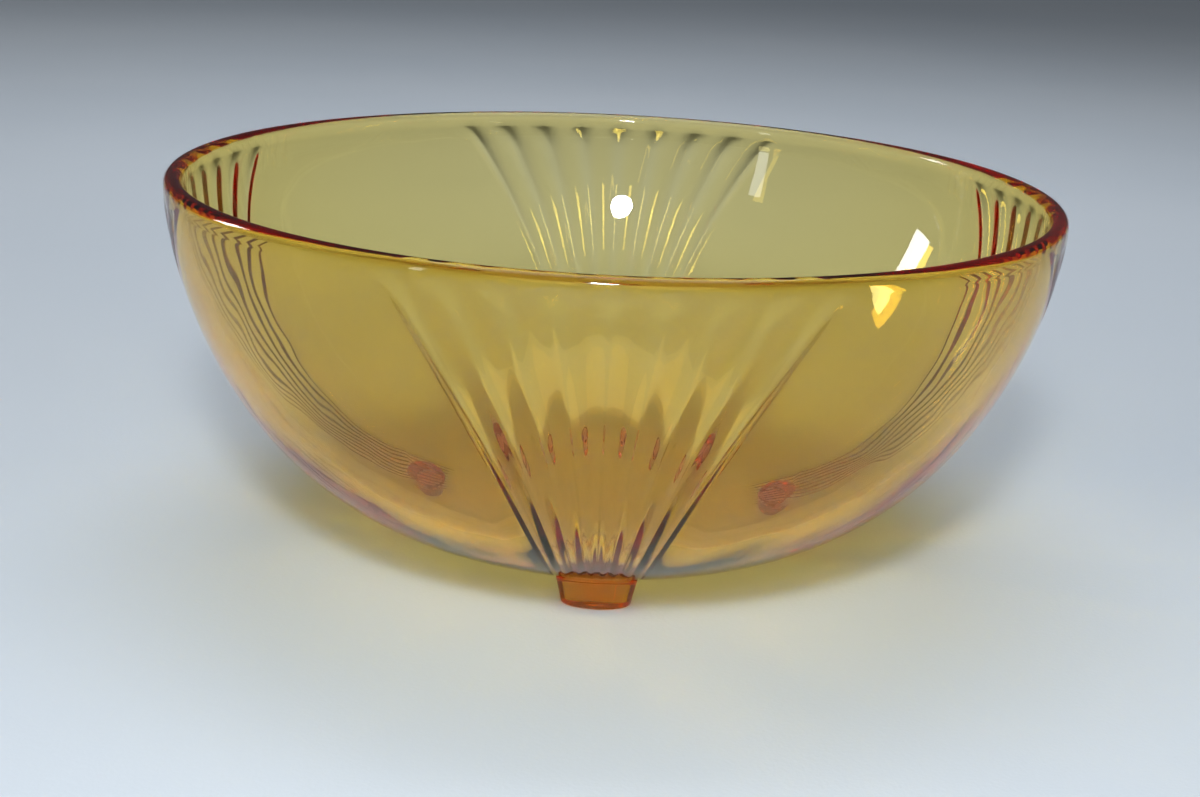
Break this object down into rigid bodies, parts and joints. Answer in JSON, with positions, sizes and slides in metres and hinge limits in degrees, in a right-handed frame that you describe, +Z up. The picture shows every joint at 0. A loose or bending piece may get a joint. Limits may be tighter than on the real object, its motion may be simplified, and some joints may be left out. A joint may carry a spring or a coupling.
{
  "type": "art glass bowl",
  "caption": "Round amber pressed-glass bowl with a smooth inside, a rounded lip, and flared fans of convex reeds that each narrow to a small oval foot.",
  "frame": {"origin": "on the surface the bowl stands on, under its middle", "axes": "+Z up through the middle of the bowl; one reeded fan and its foot face -Y, and the others follow every quarter turn"},
  "size_m": [0.23, 0.23, 0.0984],
  "materials": {
    "amber_glass": "fire-polished transparent amber pressed glass, olive where one wall is seen and orange-brown where it is thick, with faint mould ripple",
    "foot_glass": "the same amber glass in a thick lump, deep orange, polished round the sides and slightly scuffed on the standing face"
  },
  "bodies": {
    "root": {"bowl_body": "amber_glass", "foot_front": "foot_glass", "foot_right": "foot_glass", "foot_back": "foot_glass", "foot_left": "foot_glass"}
  },
  "joints": []
}
